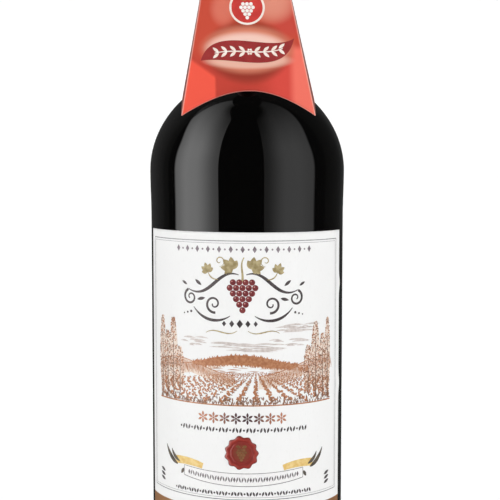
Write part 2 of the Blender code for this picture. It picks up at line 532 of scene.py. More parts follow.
def card_glows(paint, x, y, red):
    """Pale clouds behind the band and beside the emblem, with darker shades round them."""
    shade = glow(x, y, 0.2, 24.2, 17.4, 13.4, 0.5)
    halo = glow(x, y, 0.2, 25.0, 19.5, 10.3, 0.4)
    core = glow(x, y, -0.2, 25.4, 17.2, 7.0, 0.35)
    below = glow(x, y, 0.4, 20.8, 18.6, 3.7, 0.3)
    left = glow(x, y, -8.6, 40.5, 6.0, 8.0)
    right = glow(x, y, 10.0, 43.0, 10.5, 9.5)
    return paint.over(
        red, (shade * 0.9, (153, 53, 36)), (halo, (224, 136, 108)), (core, (250, 208, 193)),
        (below, (239, 185, 165)), (left * 0.65, (232, 134, 112)), (right * 0.8, (234, 156, 132)),
    )


def card_paint():
    """Varnished printed card: red fields, soft peach clouds, pale fold lines that are partly cracked ink and
    partly a painted highlight, and plainer sides with painted shade darkening them towards the folds.
    """
    paint = Paint("printed_card", roughness=0.3, Specular_IOR_Level=0.2)
    x, up = paint.sheet("X"), paint.sheet("Y")
    on_side = up.step(80.0, 81.0)
    y = up - on_side * LAYOUT_SPAN
    plain = card_red(paint, x, y)
    red = paint.blend(on_side, card_glows(paint, x, y, plain), plain)
    half = COLLAR_TIP_HALF / MM - COLLAR_SLOPE * y
    grain = paint.noise(240.0, 3.0)
    # Painted shade: the side panels turn a dull brown-rose towards their front and back folds, where they
    # face away from the light.
    painted_side_shade = paint.blend(grain, colour(150, 84, 72), colour(166, 98, 86))
    side_shade_toward_fold = (abs(x) / half).step(0.2, 0.75)
    red = paint.blend(on_side * (side_shade_toward_fold * 0.9 + 0.1), red, painted_side_shade)
    # Pale lines along the folds: partly ink cracked by folding and partly a painted highlight on the fold
    # edges. The fainter line along the cut edge is the card's pale edge.
    near_fold = (half - abs(x)).step(0.62, 0.1)
    near_cut = (y - arch_rise(x / half) * (COLLAR_ARCH / MM)).step(0.4, 0.15)
    pale_edge = near_fold.most(near_cut * 0.5) * (0.7 - on_side * 0.5)
    paint.feed(Base_Color=paint.blend(pale_edge, red, colour(246, 186, 172)))
    fibre = paint.noise(900.0, 3.0) * 0.00002
    sag = paint.noise(45.0, 1.0) * 0.0003
    paint.relief(fibre + sag)
    paint.feed(Roughness=0.32 + paint.noise(300.0, 2.0) * 0.1)
    return paint


def plain_card_paint(name, shade):
    """Unprinted board, for the collar's inside and its cut edges."""
    paint = Paint(name, roughness=0.75)
    fibre = paint.noise(700.0, 4.0)
    paint.feed(Base_Color=paint.blend(fibre, tuple(0.86 * part for part in shade), shade))
    paint.relief(fibre * 0.00004)
    return paint


def make_collar():
    piece = finish_mesh("card_collar", collar_form())
    piece.data.set_sharp_from_angle(angle=math.radians(40.0))
    dress(piece, card_paint())
    piece.data.materials.append(plain_card_paint("card_back", colour(214, 208, 200)).material)
    piece.data.materials.append(plain_card_paint("card_edge", colour(222, 150, 140)).material)
    card = piece.modifiers.new("Card", "SOLIDIFY")
    card.thickness = COLLAR_CARD
    card.offset = -1.0
    card.material_offset = 1
    card.material_offset_rim = 2
    piece.visible_glossy = False
    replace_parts(piece, "collar")


# Flat drawings in millimetres: x across, y down, z up from the surface

def patch(sheet, shape, columns, rows, lift=0.0):
    """A grid laid out by shape(u, v), which gives a point for u and v from 0 to 1."""
    grid = bmesh.ops.create_grid(sheet, x_segments=columns, y_segments=rows, size=0.5)
    for vertex in grid["verts"]:
        x, y = shape(vertex.co.x + 0.5, vertex.co.y + 0.5)
        vertex.co = (x, y, lift)


def stroke(sheet, path, width, steps, lift=0.0):
    """A line of ink along path(t), with a width in millimetres that may be a function of t."""
    small = 0.001

    def shape(u, v):
        here, there = path(max(0.0, u - small)), path(min(1.0, u + small))
        dx, dy = there[0] - here[0], there[1] - here[1]
        size = math.hypot(dx, dy) or 1.0
        reach = (width(u) if callable(width) else width) * (v - 0.5)
        x, y = path(u)
        return x - dy / size * reach, y + dx / size * reach

    patch(sheet, shape, steps, 1, lift)


def line(start, end):
    return lambda t: (start[0] + (end[0] - start[0]) * t, start[1] + (end[1] - start[1]) * t)


def curve(*points):
    """A Bezier curve of any degree through its end points."""
    degree = len(points) - 1

    def path(t):
        x = y = 0.0
        for index, point in enumerate(points):
            weight = math.comb(degree, index) * (1.0 - t) ** (degree - index) * t ** index
            x += weight * point[0]
            y += weight * point[1]
        return x, y

    return path


def side_curve(sign, *points):
    """A curve that is drawn on the right side, or mirrored to the left where sign is -1."""
    return curve(*((sign * x, y) for x, y in points))


def spiral(x, y, start_radius, end_radius, start_angle, turns):
    def path(t):
        angle = math.radians(start_angle) + 2.0 * math.pi * turns * t
        radius = start_radius + (end_radius - start_radius) * t
        return x + radius * math.cos(angle), y + radius * math.sin(angle)

    return path


def swelling(thin, thick):
    """A pen's width: thin at the ends and thick in the middle."""
    return lambda t: thin + (thick - thin) * math.sin(math.pi * t)


def disc(sheet, x, y, radius, lift=0.0, sides=12):
    ring = bmesh.ops.create_circle(sheet, cap_ends=True, cap_tris=True, segments=sides, radius=radius)
    for vertex in ring["verts"]:
        vertex.co = (x + vertex.co.x, y + vertex.co.y, lift)


def lens(sheet, x, y, length, width, angle, lift=0.0, columns=6):
    """A leaf shape, pointed at both ends and turned by an angle in degrees."""
    turn = math.radians(angle)

    def shape(u, v):
        along = (u - 0.5) * length
        side = (v - 0.5) * width * math.sin(math.pi * min(0.995, max(0.005, u))) ** 0.8
        return (
            x + along * math.cos(turn) - side * math.sin(turn),
            y + along * math.sin(turn) + side * math.cos(turn),
        )

    patch(sheet, shape, columns, 2, lift)


def diamond(sheet, x, y, half_width, half_height):
    def shape(u, v):
        a, b = u - 0.5, v - 0.5
        return x + (a + b) * half_width, y + (a - b) * half_height

    patch(sheet, shape, 2, 2)


def mirrored(draw):
    """Draw something twice: as it is, and mirrored from left to right."""
    for sign in (1.0, -1.0):
        draw(sign)


def spread(start, span, count):
    """Evenly spread places: the number of each, and where it stands."""
    return [(index, start + span * index / (count - 1)) for index in range(count)]


def bunch(x, y, rows, across, down):
    """The places of a bunch of berries round its middle line, from its top row down."""
    for row, count in enumerate(rows):
        for index in range(count):
            yield x + (index - 0.5 * (count - 1)) * across, y + row * down


def turn_outwards(sheet):
    """Flip the faces of a wrapped drawing that look at the bottle's axis."""
    sheet.normal_update()
    inward = []
    for face in sheet.faces:
        middle = face.calc_center_median()
        if face.normal.x * middle.x + face.normal.y * middle.y < 0.0:
            inward.append(face)
    bmesh.ops.reverse_faces(sheet, faces=inward)


def wrapped(name, sheet, place, lift):
    """Wrap a flat drawing onto the surface that place(x, y, lift) gives."""
    for vertex in sheet.verts:
        vertex.co = place(vertex.co.x, vertex.co.y, (lift + vertex.co.z) * MM)
    bmesh.ops.remove_doubles(sheet, verts=sheet.verts, dist=PRINT_MERGE)
    turn_outwards(sheet)
    return finish_mesh(name, sheet)


def ink(name, dark, light, roughness=0.5, scale=700.0):
    """Printer's ink that lies unevenly on the paper's fibres, between two screen colours."""
    paint = Paint(name, roughness=roughness)
    grain = paint.noise(scale, 3.0)
    paint.feed(Base_Color=paint.blend(grain.step(0.3, 0.7), colour(*dark), colour(*light)))
    return paint


# Label

def paper_ripple(across, down):
    """How far the paper stands off near its right edge, where it didn't stick down flat."""
    edge = smooth_step((across - 41.0) / 9.0)
    upper = math.exp(-((down - 20.5) / 2.6) ** 2)
    lower = math.exp(-((down - 59.5) / 3.4) ** 2)
    return edge * (0.34 * upper + 0.30 * lower) * MM


def label_place(across, down, lift=0.0):
    """A point on the label's paper, from millimetres across from its middle and below its top."""
    paper_radius = PANEL_RADIUS + LABEL_STAND_OFF
    angle = LABEL_MIDDLE + across * MM / paper_radius
    height = LABEL_TOP - down * MM - (LABEL_TILT + LABEL_TILT_GROWTH * down * MM) * angle
    radius = body_radius(height) + LABEL_STAND_OFF + paper_ripple(across, down) + lift
    return Vector((radius * math.sin(angle), -radius * math.cos(angle), height))


def label_half_widths():
    paper_radius = PANEL_RADIUS + LABEL_STAND_OFF
    left = (LABEL_LEFT - LABEL_MIDDLE) * paper_radius / MM
    right = (LABEL_RIGHT - LABEL_MIDDLE) * paper_radius / MM
    return left, right


def print_on_label(name, sheet, paint, lift=0.02):
    dress(wrapped(name, sheet, label_place, lift), paint)


def paper_paint():
    """Matt white paper, faintly clouded, with greyer fibres."""
    paint = Paint("label_paper", roughness=0.6, Specular_IOR_Level=0.25)
    cloud = paint.noise(60.0, 3.0)
    fibre = paint.noise(1500.0, 3.0, (1.0, 1.0, 0.35))
    base = paint.blend(cloud, colour(243, 243, 242), colour(248, 248, 247))
    paint.feed(Base_Color=paint.blend(fibre.step(0.55, 0.8) * 0.25, base, colour(226, 226, 224)))
    paint.relief(fibre * 0.000012 + cloud * 0.0001)
    return paint


def make_paper():
    sheet = bmesh.new()
    left, right = label_half_widths()
    tall = (LABEL_TOP - LABEL_BOTTOM) / MM
    bmesh.ops.create_grid(sheet, x_segments=LABEL_COLUMNS, y_segments=120, size=0.5)
    for vertex in sheet.verts:
        across = left + (right - left) * (vertex.co.x + 0.5)
        vertex.co = label_place(across, tall * (vertex.co.y + 0.5))
    turn_outwards(sheet)
    piece = dress(finish_mesh("paper_label", sheet), paper_paint())
    paper = piece.modifiers.new("Paper", "SOLIDIFY")
    paper.thickness = LABEL_PAPER
    paper.offset = -1.0
    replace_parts(piece, "label")


# The frame line's place on the label, and the bronze band's, in millimetres
FRAME_HALF = 44.0
FRAME_TOP = 3.15
FRAME_LOW = 99.8
BAND_TOP = 103.5
BAND_MARGIN = 0.05


def make_frame_lines():
    """The thin double line round the label's printed field."""
    sheet = bmesh.new()
    for inset, width in ((0.0, 0.28), (0.85, 0.12)):
        left, right = -FRAME_HALF + inset, FRAME_HALF - inset
        top, low = FRAME_TOP + inset, FRAME_LOW - inset
        stroke(sheet, line((left, top), (right, top)), width, 120)
        stroke(sheet, line((left, low), (right, low)), width, 120)
        stroke(sheet, line((left, top), (left, low)), width, 60)
        stroke(sheet, line((right, top), (right, low)), width, 60)
    grey = ink("grey_ink", (104, 102, 106), (150, 148, 150))
    print_on_label("frame_lines", sheet, grey)


def make_bronze_band():
    """The solid band along the foot of the label."""
    left, right = label_half_widths()
    tall = (LABEL_TOP - LABEL_BOTTOM) / MM - BAND_MARGIN - BAND_TOP
    sheet = bmesh.new()
    field = under(lambda x: BAND_TOP, left + BAND_MARGIN, right - BAND_MARGIN, tall)
    patch(sheet, field, LABEL_COLUMNS, 12)
    paint = Paint("bronze_ink", roughness=0.42, Metallic=0.25)
    drift = paint.noise(90.0, 3.0)
    grain = paint.noise(1400.0, 2.0)
    base = paint.blend(drift, colour(164, 116, 76), colour(180, 130, 86))
    paint.feed(Base_Color=paint.over(base, (grain * 0.4, (142, 98, 60))))
    print_on_label("bronze_band", sheet, paint, 0.012)


def draw_row(sheet, start, span, y, count, every, height, width, slant, bead):
    """A row of slanted leaves, with a bead in place of each one that falls on every."""
    for index, x in spread(start, span, count):
        if index % every:
            angle = 90.0 + (slant if index % 2 else -slant)
            lens(sheet, x, y, height, width, angle, columns=4)
        else:
            disc(sheet, x, y, bead, sides=10)


def make_small_rows():
    """Rows of lozenges, beads and leaves that stand where a label has its small lines."""
    sheet = bmesh.new()
    span, count, row = 53.0, 13, 6.3
    for index, x in spread(-26.4, span, count):
        diamond(sheet, x, row, 0.8, 1.3)
        if index < count - 1:
            disc(sheet, x + 0.5 * span / (count - 1), row, 0.38, sides=8)
    violet_grey = ink("violet_grey_ink", (112, 98, 106), (150, 138, 144))
    print_on_label("row_of_lozenges", sheet, violet_grey)
    sheet = bmesh.new()
    draw_row(sheet, -25.4, 50.6, 73.6, count=40, every=4, height=2.1, width=0.82, slant=18.0, bead=0.40)
    draw_row(sheet, -28.2, 55.6, 97.6, count=49, every=5, height=1.8, width=0.8, slant=22.0, bead=0.38)
    for x, half_width, half_height in (
        (-6.9, 0.8, 1.05), (-4.0, 0.95, 1.3), (-1.0, 1.2, 1.6), (2.0, 0.95, 1.3), (4.9, 0.8, 1.05),
    ):
        diamond(sheet, x, 33.8, half_width, half_height)

    def corner_mark(sign):
        for row in range(3):
            lens(sheet, sign * 37.0, 92.6 + 1.7 * row, 3.4, 1.2, -sign * 20.0, columns=4)

    mirrored(corner_mark)
    print_on_label("rows_of_beads", sheet, ink("dark_ink", (52, 44, 46), (84, 76, 78)))


def make_gradient_row():
    """A row of small rosettes whose ink runs from copper to plum and back."""
    sheet = bmesh.new()
    row, reach = 69.2, 1.3
    for _, x in spread(-15.4, 30.2, 8):
        for petal in range(6):
            angle = 60.0 * petal + 30.0
            turn = math.radians(angle)
            lens(sheet, x + reach * math.cos(turn), row + reach * math.sin(turn), 1.9, 0.86, angle)
        disc(sheet, x, row, 0.4, sides=10)
    paint = Paint("copper_to_plum_ink", roughness=0.4)
    x = paint.place("X")
    plum = abs(x + 0.001).step(0.0150, 0.0010)
    grain = paint.noise(900.0, 2.0)
    base = paint.blend(plum, colour(186, 122, 90), colour(74, 44, 52))
    paint.feed(Base_Color=paint.over(base, (grain.step(0.5, 0.8) * 0.3, (214, 184, 170))))
    print_on_label("row_of_rosettes", sheet, paint)


# Title ornament: a bunch of grapes between two scrolls

GRAPE_ROWS = (4, 5, 4, 3, 2, 1)
GRAPE_SPACING = 2.36
GRAPE_DROP = 0.87 * GRAPE_SPACING
GRAPE_RADIUS = 1.16


def vine_leaf(sheet, x, y, size, angle):
    """A vine leaf of five pointed lobes round its stalk."""
    for turn, length in ((-76.0, 0.72), (-38.0, 0.9), (0.0, 1.0), (38.0, 0.9), (76.0, 0.72)):
        way = math.radians(angle + turn)
        reach = 0.42 * size * length
        lobe_x, lobe_y = x + reach * math.cos(way), y + reach * math.sin(way)
        lens(sheet, lobe_x, lobe_y, size * length, 0.46 * size, angle + turn)


def curl_width(t):
    return 0.95 - 0.5 * t


def draw_scrolls(sheet, sign):
    """One half of the scrollwork: two heavy sweeps that curl at their ends, with leaf drops."""
    upper = side_curve(sign, (1.4, 15.6), (9.5, 12.6), (12.0, 26.0), (21.6, 21.4))
    lower = side_curve(sign, (4.6, 30.9), (9.5, 34.2), (15.5, 32.8), (19.2, 28.0))
    stroke(sheet, upper, swelling(0.3, 1.25), 30)
    stroke(sheet, lower, swelling(0.25, 1.1), 24)
    outward = -70.0 if sign > 0 else -110.0
    stroke(sheet, spiral(sign * 20.6, 24.4, 3.0, 0.5, outward, sign * 1.35), curl_width, 34)
    inward = 100.0 if sign > 0 else 80.0
    stroke(sheet, spiral(sign * 10.8, 26.6, 3.3, 0.5, inward, -sign * 1.3), curl_width, 34)
    for x, y, length, width, angle in (
        (16.0, 24.8, 3.4, 1.2, 12.0), (17.2, 18.8, 3.4, 1.2, -38.0), (23.4, 19.2, 2.8, 1.0, -30.0),
    ):
        lens(sheet, sign * x, y, length, width, sign * angle)
    for index in range(3):
        disc(sheet, sign * (20.4 + 1.6 * index), 29.8 + 0.4 * index, 0.5 - 0.1 * index, sides=10)


def make_title_ornament():
    grapes, shine, leaves, scrolls = (bmesh.new() for _ in range(4))
    for x, y in bunch(0.0, 18.4, GRAPE_ROWS, GRAPE_SPACING, GRAPE_DROP):
        disc(grapes, x, y, GRAPE_RADIUS, sides=16)
        disc(shine, x - 0.35, y - 0.38, 0.26, sides=8)

    def half(sign):
        vine_leaf(leaves, sign * 3.7, 13.4, 5.4, -90.0 + sign * 46.0)
        vine_leaf(leaves, sign * 13.2, 14.6, 3.8, -90.0 + sign * 20.0)
        stem = side_curve(sign, (9.2, 17.4), (11.0, 17.6), (12.4, 16.8), (13.1, 14.8))
        stroke(leaves, stem, swelling(0.25, 0.5), 12)
        tendril = spiral(sign * 8.6, 10.6, 2.1, 0.4, 90.0, sign * 1.15)
        stroke(leaves, tendril, swelling(0.15, 0.42), 26)
        trail = side_curve(sign, (2.0, 36.4), (6.0, 39.4), (10.0, 34.6), (14.0, 37.4))
        stroke(leaves, trail, swelling(0.2, 0.5), 18)
        draw_scrolls(scrolls, sign)

    mirrored(half)
    stalk = curve((0.0, 18.4), (0.4, 14.0), (-1.2, 12.0), (0.6, 9.2))
    stroke(leaves, stalk, lambda t: 0.9 - 0.5 * t, 16)
    wine = ink("wine_red_ink", (112, 30, 36), (138, 50, 52), 0.4)
    pale = ink("pale_red_ink", (204, 136, 128), (220, 164, 154))
    moss = ink("moss_gold_ink", (150, 132, 84), (190, 174, 130))
    print_on_label("grapes", grapes, wine, 0.024)
    print_on_label("grape_highlights", shine, pale, 0.034)
    print_on_label("leaves", leaves, moss)
    print_on_label("scrolls", scrolls, ink("umber_ink", (56, 47, 49), (86, 76, 76)))


# Landscape: vines in rows under low hills, with poplars, as a fine copper engraving

SCENE_LEFT = -38.6
SCENE_RIGHT = 39.2
SCENE_BASE = 64.3
# Poplars: place across, foot below the label's top, height and width
POPLARS = (
    (-36.8, 63.8, 31.0, 4.6), (-33.2, 63.2, 25.0, 4.6), (-29.6, 62.4, 29.5, 4.8), (-26.0, 61.0, 17.5, 4.2),
    (26.4, 61.0, 18.5, 4.2), (30.2, 62.4, 28.5, 4.8), (34.2, 63.2, 24.5, 4.8), (37.4, 63.8, 31.0, 4.0),
)


def hill(height, swell, start, span):
    """A ridge line: its height in millimetres below the label's top at x."""
    return lambda x: height - swell * math.sin(math.pi * (x - start) / span) ** 2


def along(ridge, left, right):
    """A path for a stroke along a ridge."""
    def path(t):
        x = left + (right - left) * t
        return x, ridge(x)

    return path


def under(ridge, left, right, depth):
    """A shape for a patch that hangs from a ridge; its depth may be a function of u."""
    def shape(u, v):
        x = left + (right - left) * u
        return x, ridge(x) + (depth(u) if callable(depth) else depth) * v

    return shape


def draw_hatching(sheet, ridge, left, right, depth, rng):
    """Fine slanted strokes under a ridge."""
    gap, slope = 0.42, 0.35
    x = left
    while x < right:
        top = ridge(x) + 0.25
        reach = depth * (0.55 + 0.6 * rng.random())
        stroke(sheet, line((x, top), (x + slope * reach, top + reach)), swelling(0.06, 0.24), 3)
        x += gap * (0.8 + 0.4 * rng.random())


def draw_field_lines(sheet, rng):
    """Short level strokes on the open field between the wood and the first vines."""
    for _ in range(30):
        x, y = 1.0 + 25.0 * (rng.random() - 0.5), 49.7 + 2.5 * rng.random()
        half = 0.9 + 1.6 * rng.random()
        stroke(sheet, curve((x - half, y), (x, y - 0.2), (x + half, y)), swelling(0.05, 0.2), 6)


def draw_vine_rows(sheet, shadows, rng):
    """Rows of vines that run from the front of the picture to a point behind its middle."""
    far_x, far_y = 5.0, 50.8
    for row in range(-13, 14):
        near_x = far_x + row * 6.6
        share = 1.0
        while share > 0.12:
            x = far_x + (near_x - far_x) * share
            y = far_y + (SCENE_BASE - 0.9 - far_y) * share
            if SCENE_LEFT + 0.6 < x < SCENE_RIGHT - 0.6:
                size = 0.25 + 1.4 * share
                for _ in range(4 if share > 0.35 else 2):
                    leaf_x = x + (rng.random() - 0.5) * size * 1.3
                    leaf_y = y - rng.random() * size * 0.9
                    turn = 360.0 * rng.random()
                    lens(sheet, leaf_x, leaf_y, size * 0.95, size * 0.52, turn, columns=3)
                if share > 0.3:
                    stroke(shadows, line((x, y), (x + 0.1, y + 0.5 * size)), 0.2 + 0.12 * share, 2)
                    lens(shadows, x + 0.35 * size, y + 0.12 * size, size * 1.2, size * 0.3, 10.0, columns=3)
            share *= 0.905


def poplar_point(tree, across, rise):
    """A point in a poplar: across it from -1 to 1, and up it from 0 to 1."""
    x, base, height, width = tree
    half = 0.5 * width * math.sin(math.pi * (0.08 + 0.87 * rise)) ** 0.6
    return x + half * across, base - height * (0.08 + 0.92 * rise)


def draw_poplar(sheet, tree, share, rng):
    """A tall tree round a trunk, with share small leaves to each square millimetre."""
    x, base, height, width = tree
    stroke(sheet, line((x, base), (x, base - height * 0.8)), lambda t: 0.6 - 0.4 * t, 8)
    for _ in range(int(share * height * width)):
        rise = rng.random()
        leaf_x, leaf_y = poplar_point(tree, 2.0 * rng.random() ** 1.2 - 1.0, rise)
        length, turn = 0.65 + 0.5 * rng.random(), -75.0 + 150.0 * rng.random()
        lens(sheet, leaf_x, leaf_y, length, 0.42, turn, columns=2)


def draw_clouds(sheet, rng):
    """Small groups of level strokes: the middle, the spread and the number of strokes of each."""
    for middle_x, middle_y, reach, count in (
        (-20.0, 41.0, 6.0, 12), (2.5, 42.6, 12.0, 30), (22.5, 36.0, 9.0, 22), (17.0, 41.4, 8.0, 10),
    ):
        for _ in range(count):
            x = middle_x + (rng.random() - 0.5) * 1.7 * reach
            y = middle_y + (rng.random() - 0.5) * 3.4
            half = reach * (0.15 + 0.35 * rng.random())
            path = curve((x - half, y), (x, y - 0.5), (x + half, y + 0.1))
            stroke(sheet, path, swelling(0.06, 0.55), 12)


def draw_grass(sheet, rng):
    """A dense strip of tufts along the foot of the picture."""
    for _ in range(300):
        x = SCENE_LEFT + 0.6 + (SCENE_RIGHT - SCENE_LEFT - 1.2) * rng.random()
        y = SCENE_BASE - 0.5 - 2.4 * rng.random() ** 1.6
        lens(sheet, x, y, 1.1 + 0.8 * rng.random(), 0.5, 90.0 + 80.0 * (rng.random() - 0.5), columns=2)


def make_landscape():
    rng = random.Random(11)
    copper = ink("copper_ink", (170, 104, 62), (196, 136, 96), 0.42, 900.0)
    sepia = ink("sepia_ink", (116, 74, 52), (158, 118, 92), 0.45, 900.0)
    far = hill(50.2, 4.6, -30.0, 58.0)
    near_left = hill(53.0, 5.4, -52.0, 50.0)
    near_right = hill(53.4, 6.4, 4.0, 62.0)
    lines, washes = bmesh.new(), bmesh.new()
    for ridge, left, right, depth in (
        (far, -26.0, 26.0, 3.4), (near_left, SCENE_LEFT, -3.0, 4.0), (near_right, 6.0, SCENE_RIGHT, 4.4),
    ):
        stroke(lines, along(ridge, left, right), 0.3, 60)
        draw_hatching(lines, ridge, left, right, depth, rng)
        patch(washes, under(ridge, left, right, depth * 1.1), 60, 3)
    draw_field_lines(lines, random.Random(5))
    stroke(lines, along(lambda x: SCENE_BASE, SCENE_LEFT, SCENE_RIGHT), 0.5, 120)
    print_on_label("landscape_lines", lines, copper)
    wood = bmesh.new()
    patch(wood, under(far, -19.0, 21.0, lambda u: 0.2 + 3.3 * math.sin(math.pi * u) ** 0.5), 60, 3)
    for _ in range(420):
        share = rng.random()
        x = -19.6 + 41.2 * share
        y = far(x) - 0.2 + 3.8 * rng.random() * math.sin(math.pi * share) ** 0.5
        lens(wood, x, y, 1.2 + 0.9 * rng.random(), 0.75, 90.0 + 50.0 * (rng.random() - 0.5), columns=2)
    print_on_label("far_wood", wood, copper, 0.022)
    vines, shadows, grass, clouds = (bmesh.new() for _ in range(4))
    draw_vine_rows(vines, shadows, rng)
    print_on_label("vine_rows", vines, copper, 0.024)
    print_on_label("vine_shadows", shadows, sepia, 0.018)
    draw_grass(grass, rng)
    print_on_label("grass", grass, sepia, 0.026)
    for number, tree in enumerate(POPLARS, 1):
        patch(washes, lambda u, v: poplar_point(tree, 2.0 * u - 1.0, v), 4, 16, 0.004)
        light, dark = bmesh.new(), bmesh.new()
        draw_poplar(light, tree, 1.1, rng)
        draw_poplar(dark, tree, 0.7, rng)
        print_on_label("poplar_light_%d" % number, light, copper, 0.028)
        print_on_label("poplar_dark_%d" % number, dark, sepia, 0.032)
    draw_clouds(clouds, rng)
    print_on_label("clouds", clouds, ink("dove_ink", (196, 184, 178), (222, 214, 210)), 0.014)
    tint = ink("copper_tint", (232, 212, 196), (241, 228, 216))
    print_on_label("landscape_tints", washes, tint, 0.010)


# Wax seal and ribbon

SEAL_X, SEAL_Y, SEAL_RADIUS = -0.4, 82.1, 6.15
SEAL_MIDDLE_LIFT = 0.19
SMALL_BUNCH = (3, 4, 3, 2, 1)


def seal_height(share, angle):
    """Relief of the seal in millimetres at a share of its radius."""
    rim = math.exp(-((share - 0.86) / 0.09) ** 2)
    groove = math.exp(-((share - 0.70) / 0.045) ** 2)
    inner_ring = math.exp(-((share - 0.60) / 0.05) ** 2)
    flow = 0.06 * math.sin(3.0 * angle + 1.0) + 0.05 * math.sin(7.0 * angle)
    edge = 1.0 - smooth_step((share - 0.90) / 0.10)
    return 0.03 + edge * (0.14 + 0.22 * rim * (1.0 + flow * 3.0) - 0.10 * groove + 0.09 * inner_ring)


def wax_paint():
    """Dark red wax, nearly brown in its middle, with painted shade darkening its grooves and a painted
    highlight brightening its ridges.
    """
    paint = Paint("sealing_wax", roughness=0.32, Coat_Weight=0.3, Coat_Roughness=0.2)
    cloud = paint.noise(500.0, 3.0)
    base = paint.blend(cloud, colour(131, 32, 24), colour(153, 43, 33))
    middle = paint.stored("reach").step(0.62, 0.40)
    # Painted shade in the low grooves and a painted highlight on the high ridges, both read from the stored
    # relief height.
    painted_groove_shade = paint.stored("depth").step(0.12, 0.03)
    high = paint.stored("depth").step(0.24, 0.40)
    paint.feed(Base_Color=paint.over(
        base, (middle * 0.8, (132, 60, 40)), (painted_groove_shade * 0.8, (92, 22, 22)), (high * 0.5, (182, 62, 48)),
    ))
    paint.relief(cloud * 0.00006)
    return paint


def make_seal():
    """The round wax seal with a scalloped rim, and a bunch of berries pressed into its middle."""
    sheet = bmesh.new()
    depth_layer = sheet.verts.layers.float.new("depth")
    reach_layer = sheet.verts.layers.float.new("reach")
    grid = bmesh.ops.create_grid(sheet, x_segments=112, y_segments=26, size=0.5)
    for vertex in grid["verts"]:
        angle = 2.0 * math.pi * (vertex.co.x + 0.5)
        share = vertex.co.y + 0.5
        scallop = 0.055 * math.cos(11.0 * angle + 0.6 * math.sin(2.0 * angle)) + 0.02 * math.sin(3.0 * angle)
        reach = SEAL_RADIUS * share * (1.0 + scallop * share ** 3)
        vertex[depth_layer] = seal_height(share, angle)
        vertex[reach_layer] = share
        x, y = SEAL_X + reach * math.cos(angle), SEAL_Y + reach * math.sin(angle)
        vertex.co = (x, y, vertex[depth_layer])
    bmesh.ops.remove_doubles(sheet, verts=sheet.verts, dist=0.0001)
    print_on_label("wax_seal", sheet, wax_paint())
    motif = bmesh.new()
    for x, y in bunch(SEAL_X, SEAL_Y - 1.2, SMALL_BUNCH, 1.05, 0.95):
        disc(motif, x, y, 0.5, SEAL_MIDDLE_LIFT)
    for sign in (-1.0, 1.0):
        lens(motif, SEAL_X + sign * 1.3, SEAL_Y - 2.5, 2.4, 1.1, sign * -28.0, SEAL_MIDDLE_LIFT)
    print_on_label("seal_motif", motif, ink("olive_gold_ink", (116, 74, 40), (142, 98, 56), 0.35))


RIBBON_HALF = 24.0


def ribbon_top(x):
    return 89.9 - 1.3 * (x / RIBBON_HALF) ** 2


def ribbon_low(x):
    return 94.7 - 2.3 * (x / RIBBON_HALF) ** 2


def ribbon_shape(u, v):
    x = RIBBON_HALF * (2.0 * u - 1.0)
    return x, ribbon_top(x) * (1.0 - v) + ribbon_low(x) * v


def tip_width(thick):
    """The width of a ribbon's dark tip: fullest before its middle, and thin at its ends."""
    return lambda t: 0.2 + thick * math.sin(math.pi * t) ** 0.8 * (1.0 - 0.4 * t)


def make_ribbon():
    """A white ribbon under the seal, with gold folds behind its ends and dark horn-like tips."""
    face, outline, gold, tips = (bmesh.new() for _ in range(4))
    patch(face, ribbon_shape, 90, 5)
    stroke(outline, along(ribbon_top, -RIBBON_HALF, RIBBON_HALF), 0.2, 90)
    stroke(outline, along(ribbon_low, -RIBBON_HALF, RIBBON_HALF), 0.24, 90)
    for index, x in spread(-21.6, 43.2, 43):
        middle = 0.5 * (ribbon_top(x) + ribbon_low(x))
        if index % 6:
            lens(outline, x, middle, 2.1, 0.6, 90.0 + (16.0 if index % 2 else -16.0), columns=4)
        else:
            diamond(outline, x, middle, 0.5, 1.0)

    def end(sign):
        x = sign * RIBBON_HALF
        stroke(outline, line((x, ribbon_top(x)), (x, ribbon_low(x))), 0.2, 4)
        fold = side_curve(sign, (15.6, 88.0), (20.0, 86.7), (25.0, 86.6), (28.8, 87.2))
        stroke(gold, fold, lambda t: 2.2 + 1.8 * t - 1.0 * t * t, 22)
        long_tip = side_curve(sign, (27.4, 88.8), (29.8, 88.2), (32.8, 85.6), (34.2, 82.2))
        stroke(tips, long_tip, tip_width(1.9), 20)
        short_tip = side_curve(sign, (26.4, 87.6), (28.4, 86.9), (30.2, 85.4), (30.8, 83.4))
        stroke(tips, short_tip, tip_width(1.5), 16)
        lens(tips, sign * 24.9, 91.0, 2.6, 1.3, sign * 60.0)

    mirrored(end)
    soft_gold = ink("soft_gold_ink", (226, 186, 98), (240, 212, 142))
    print_on_label("ribbon_ends", gold, soft_gold, 0.012)
    white = ink("ribbon_white", (242, 240, 240), (248, 247, 246))
    print_on_label("ribbon_face", face, white, 0.018)
    grey = ink("ribbon_ink", (92, 84, 86), (128, 120, 122))
    print_on_label("ribbon_lines", outline, grey, 0.03)
    print_on_label("ribbon_tips", tips, ink("tip_ink", (66, 58, 50), (104, 92, 76)), 0.03)


# Collar print that stands on the card: a dark wavy band, laurel sprigs and a round emblem

EMBLEM_X, EMBLEM_HEIGHT, EMBLEM_RADIUS = 0.4, 41.0, 6.3
COLLAR_INK = 0.02


def print_on_collar(name, sheet, side, paint, lift=0.03):
    """Wrap a flat drawing onto one side of the collar: x across, y up from the tips."""
    def place(x, y, off):
        return collar_place(side, x * MM, COLLAR_TIP + y * MM, off)

    piece = dress(wrapped(name, sheet, place, lift), paint)
    piece.visible_glossy = False


def band_edges(u):
    """The upper and the lower edge of the wavy band, from its low left tip to its high right one."""
    upper = curve((-17.5, 20.8), (-12.8, 35.6), (8.1, 23.3), (17.8, 29.2))
    lower = curve((-17.5, 20.8), (-4.5, 22.7), (14.5, 13.8), (17.8, 29.2))
    return upper(u), lower(u)


def band_shape(u, v):
    upper, lower = band_edges(u)
    return upper[0] * (1.0 - v) + lower[0] * v, upper[1] * (1.0 - v) + lower[1] * v


def band_middle(t):
    return band_shape(0.17 + 0.66 * t, 0.5)


